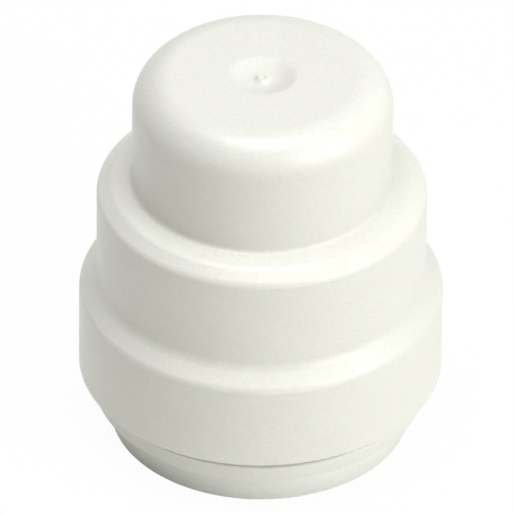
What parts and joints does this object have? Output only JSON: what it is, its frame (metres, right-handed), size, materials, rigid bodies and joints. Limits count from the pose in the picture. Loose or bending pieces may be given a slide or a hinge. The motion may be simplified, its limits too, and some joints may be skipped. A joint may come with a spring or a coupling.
{
  "type": "push-fit stop end",
  "caption": "White plastic push-fit stop end: a stepped, closed body that seals and grips a pipe's end with an O-ring and a toothed collet, which is pressed in to let go.",
  "frame": {"origin": "on the pipe's axis, at the outer face of the collet, which the fitting stands on", "axes": "+Z along the pipe's axis, from the mouth up to the closed crown"},
  "size_m": [0.0278, 0.0278, 0.0315],
  "materials": {
    "body_plastic": "satin moulded white plastic",
    "housing_plastic": "satin moulded white plastic",
    "seal_rubber": "smooth black moulded rubber",
    "washer_plastic": "satin natural plastic",
    "collet_plastic": "satin moulded white acetal",
    "tooth_steel": "pressed stainless steel"
  },
  "bodies": {
    "stop_end": {"stop_end_body": "body_plastic", "collet_housing": "housing_plastic", "o_ring": "seal_rubber"},
    "washer": {"spacer_washer": "washer_plastic"},
    "collet": {"collet": "collet_plastic", "grip_tooth_1": "tooth_steel", "grip_tooth_2": "tooth_steel", "grip_tooth_3": "tooth_steel", "grip_tooth_4": "tooth_steel", "grip_tooth_5": "tooth_steel", "grip_tooth_6": "tooth_steel", "grip_tooth_7": "tooth_steel", "grip_tooth_8": "tooth_steel"}
  },
  "joints": [
    {"name": "collet_swivel", "type": "hinge", "parent": "stop_end", "child": "washer", "pos_m": [0, 0, 0.0158], "axis": [0, 0, 1], "continuous": true},
    {"name": "collet_slide", "type": "slide", "parent": "washer", "child": "collet", "axis": [0, 0, -1], "range_m": [0, 0.0016]}
  ]
}
